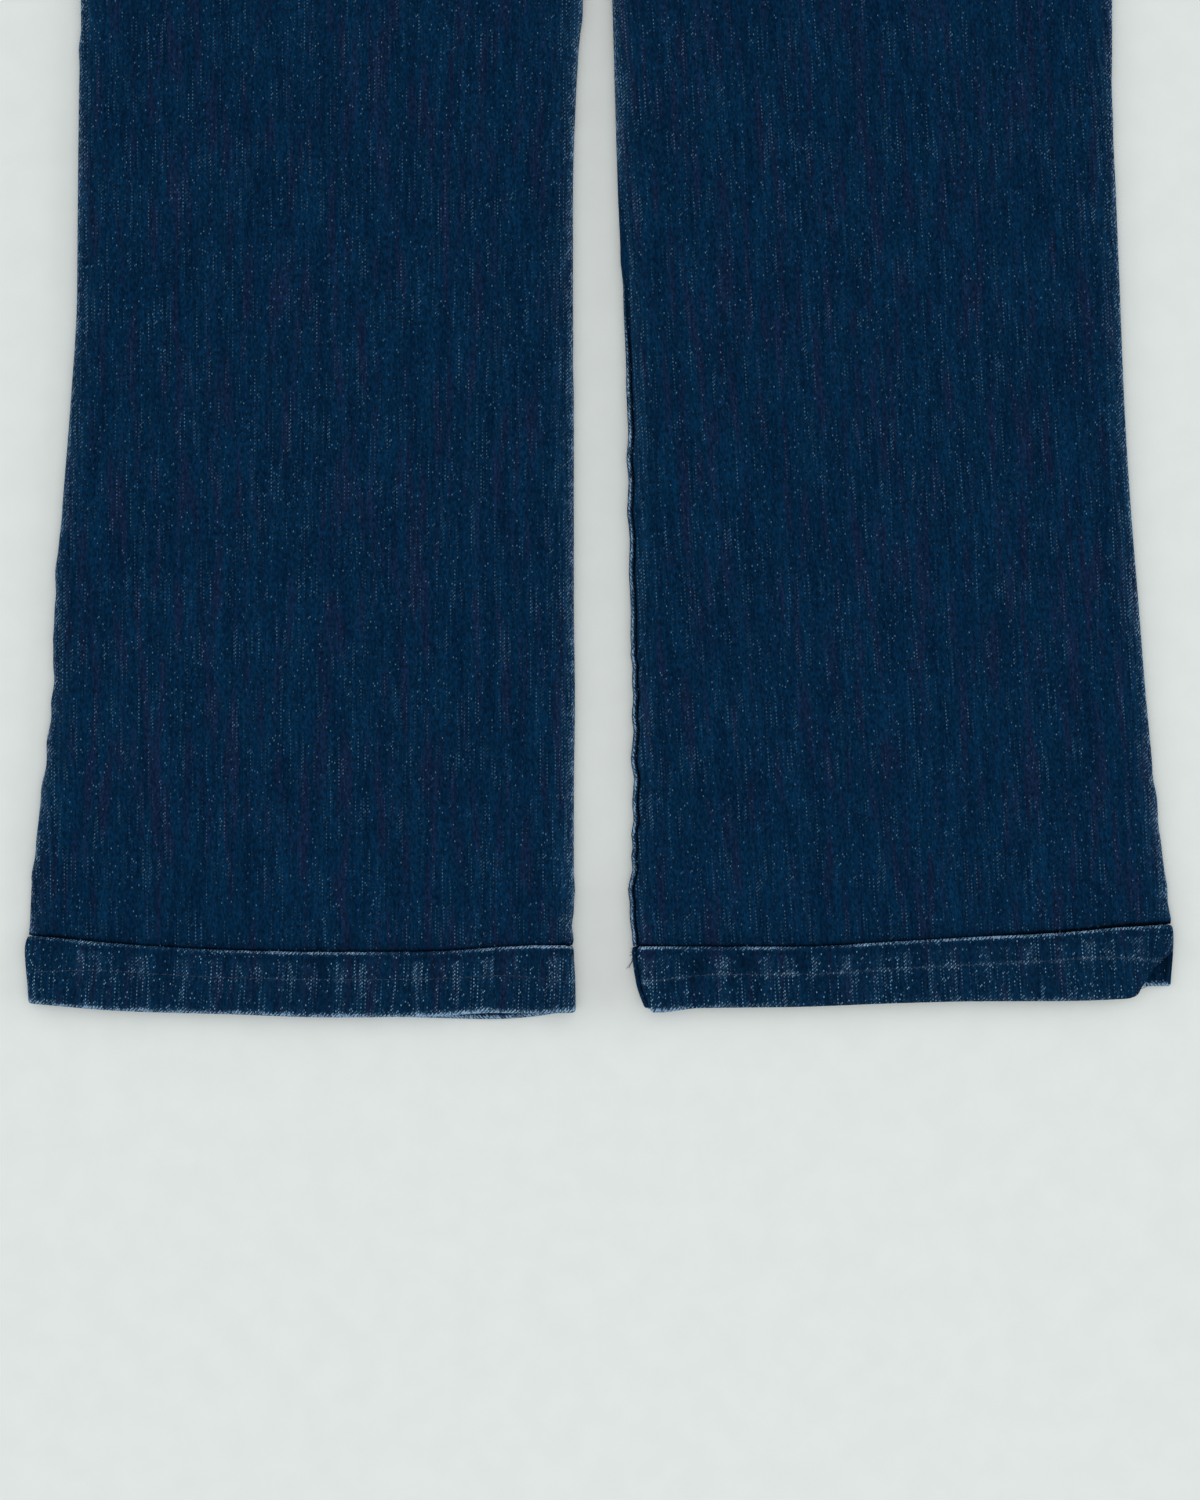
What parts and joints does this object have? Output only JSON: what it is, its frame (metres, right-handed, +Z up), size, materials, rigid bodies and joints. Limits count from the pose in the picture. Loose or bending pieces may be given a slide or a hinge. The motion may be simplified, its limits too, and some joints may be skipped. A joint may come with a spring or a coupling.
{
  "type": "jeans",
  "caption": "Dark indigo bootcut jeans laid flat, front up, with flared legs, doubled hem bands, yoke, pockets, belt loops and a button.",
  "frame": {"origin": "centre of the footprint, on the surface that the jeans lie on", "axes": "+Z up off the surface, +Y from the hems to the waist, +X towards the wearer's left leg"},
  "size_m": [0.5166, 1.0669, 0.014],
  "materials": {
    "indigo_denim": "dark indigo twill with slubs",
    "worn_indigo_denim": "dark indigo twill, worn lighter along its folded edges",
    "button_metal": "aged, satin"
  },
  "bodies": {
    "root": {"front_right": "indigo_denim", "front_left": "indigo_denim", "back_right": "indigo_denim", "back_left": "indigo_denim", "hem_band_front_right": "worn_indigo_denim", "hem_band_back_right": "worn_indigo_denim", "hem_band_front_left": "worn_indigo_denim", "hem_band_back_left": "worn_indigo_denim", "pocket_side_panel_right": "indigo_denim", "pocket_side_panel_left": "indigo_denim", "yoke_right": "indigo_denim", "yoke_left": "indigo_denim", "waistband_front_right": "worn_indigo_denim", "waistband_front_left": "worn_indigo_denim", "waistband_back": "worn_indigo_denim", "back_pocket_right": "indigo_denim", "back_pocket_left": "indigo_denim", "belt_loop_front_right": "worn_indigo_denim", "belt_loop_front_left": "worn_indigo_denim", "belt_loop_back_right": "worn_indigo_denim", "belt_loop_back_left": "worn_indigo_denim", "belt_loop_back_middle": "worn_indigo_denim", "button": "button_metal"}
  },
  "joints": []
}
